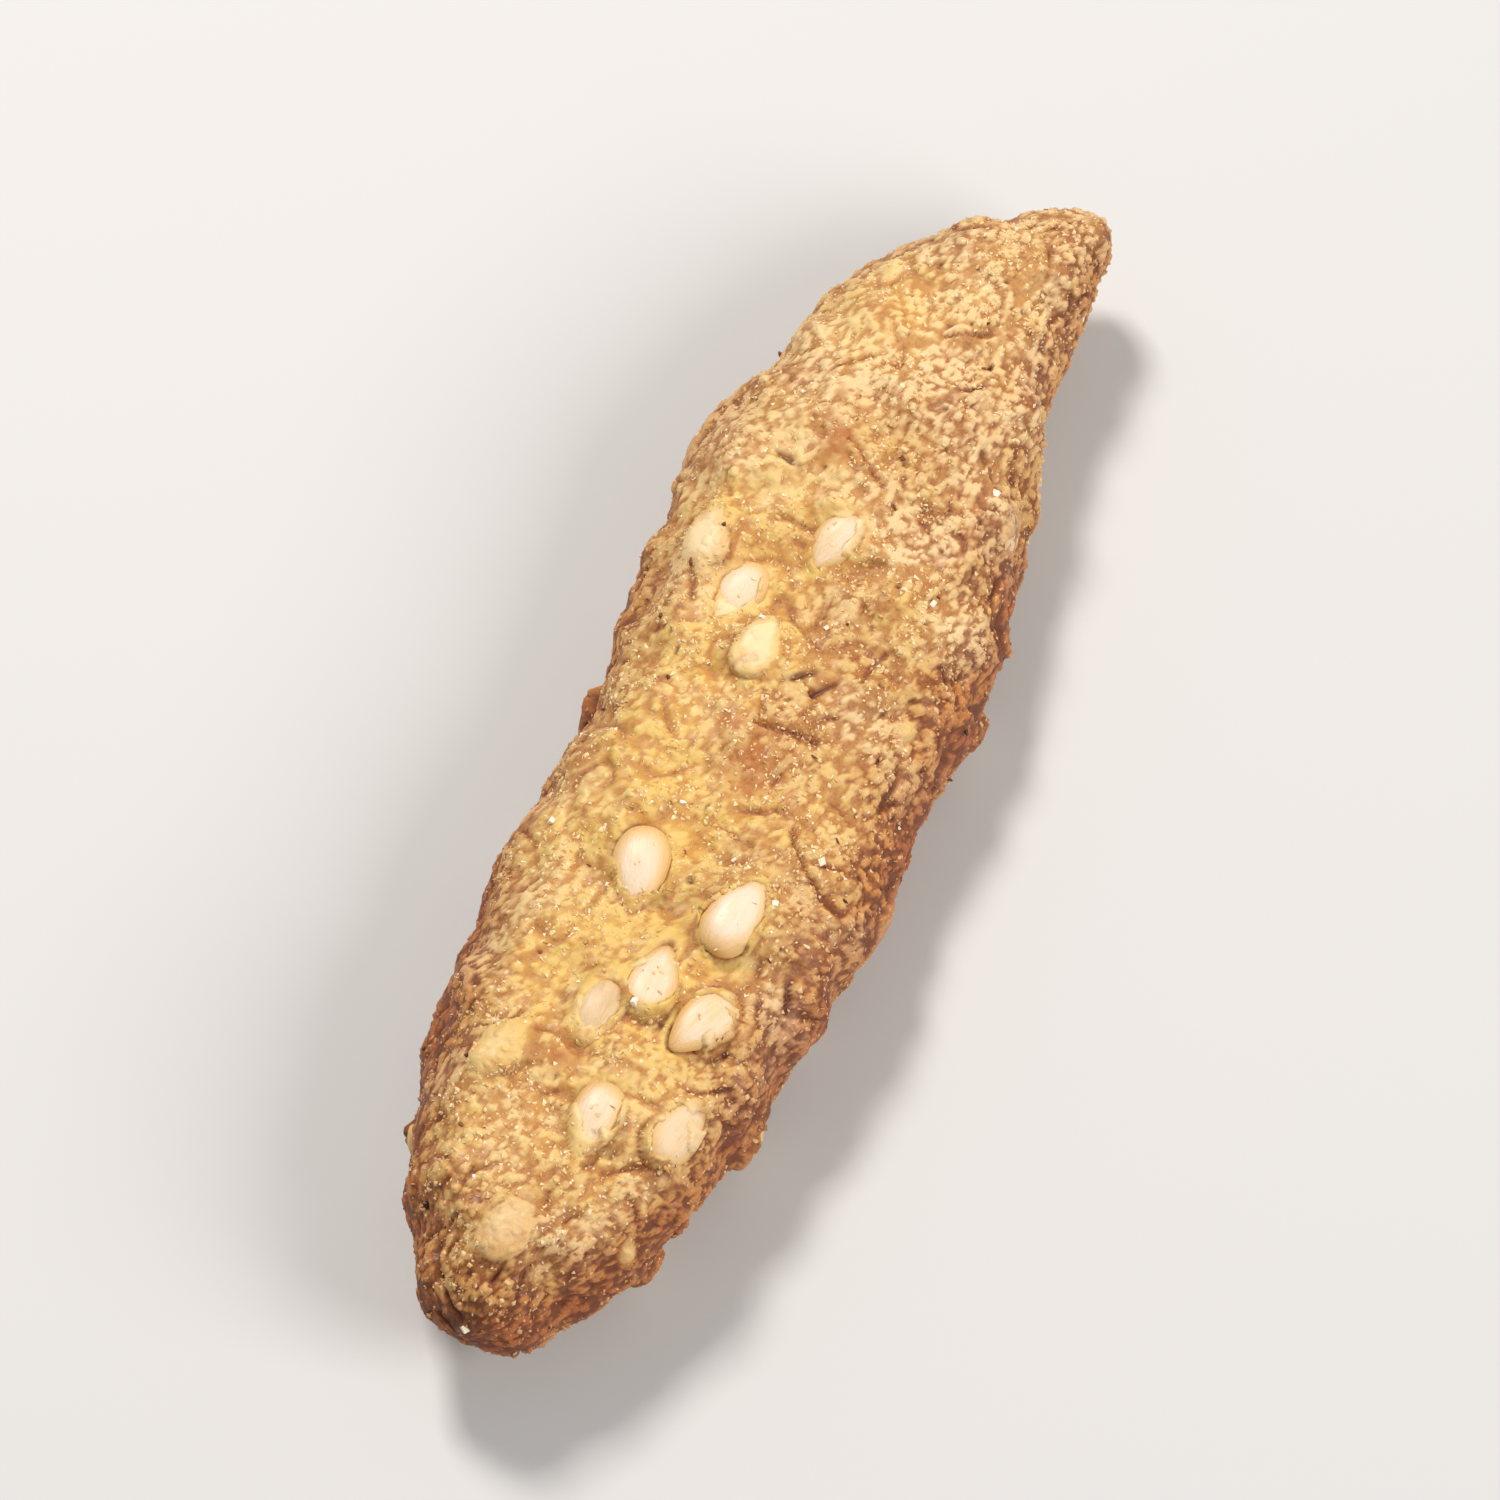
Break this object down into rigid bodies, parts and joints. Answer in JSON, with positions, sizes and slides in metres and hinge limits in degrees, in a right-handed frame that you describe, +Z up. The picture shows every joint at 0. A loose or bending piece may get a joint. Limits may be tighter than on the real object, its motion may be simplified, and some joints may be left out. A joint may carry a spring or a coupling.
{
  "type": "sesame stick",
  "caption": "Crisp fried strip of wheat dough with a rough crumbly crust and sesame seeds baked into it, lying flat.",
  "frame": {"origin": "under the middle of the stick, in the plane it rests on", "axes": "+X along the stick from its blunt end to its pointed end, +Y across it, +Z up through its thickness, out of the shown side"},
  "size_m": [0.049, 0.0146, 0.0076],
  "materials": {
    "toasted_dough": "granular toasted crust with a thin film of frying oil",
    "sesame_seed": "hulled sesame seed, satin and slightly translucent",
    "salt_crystal": "fine salt grains with small bright facets",
    "dark_bran": "dark toasted bran flecks"
  },
  "bodies": {
    "root": {"sesame_stick": "toasted_dough"}
  },
  "joints": []
}
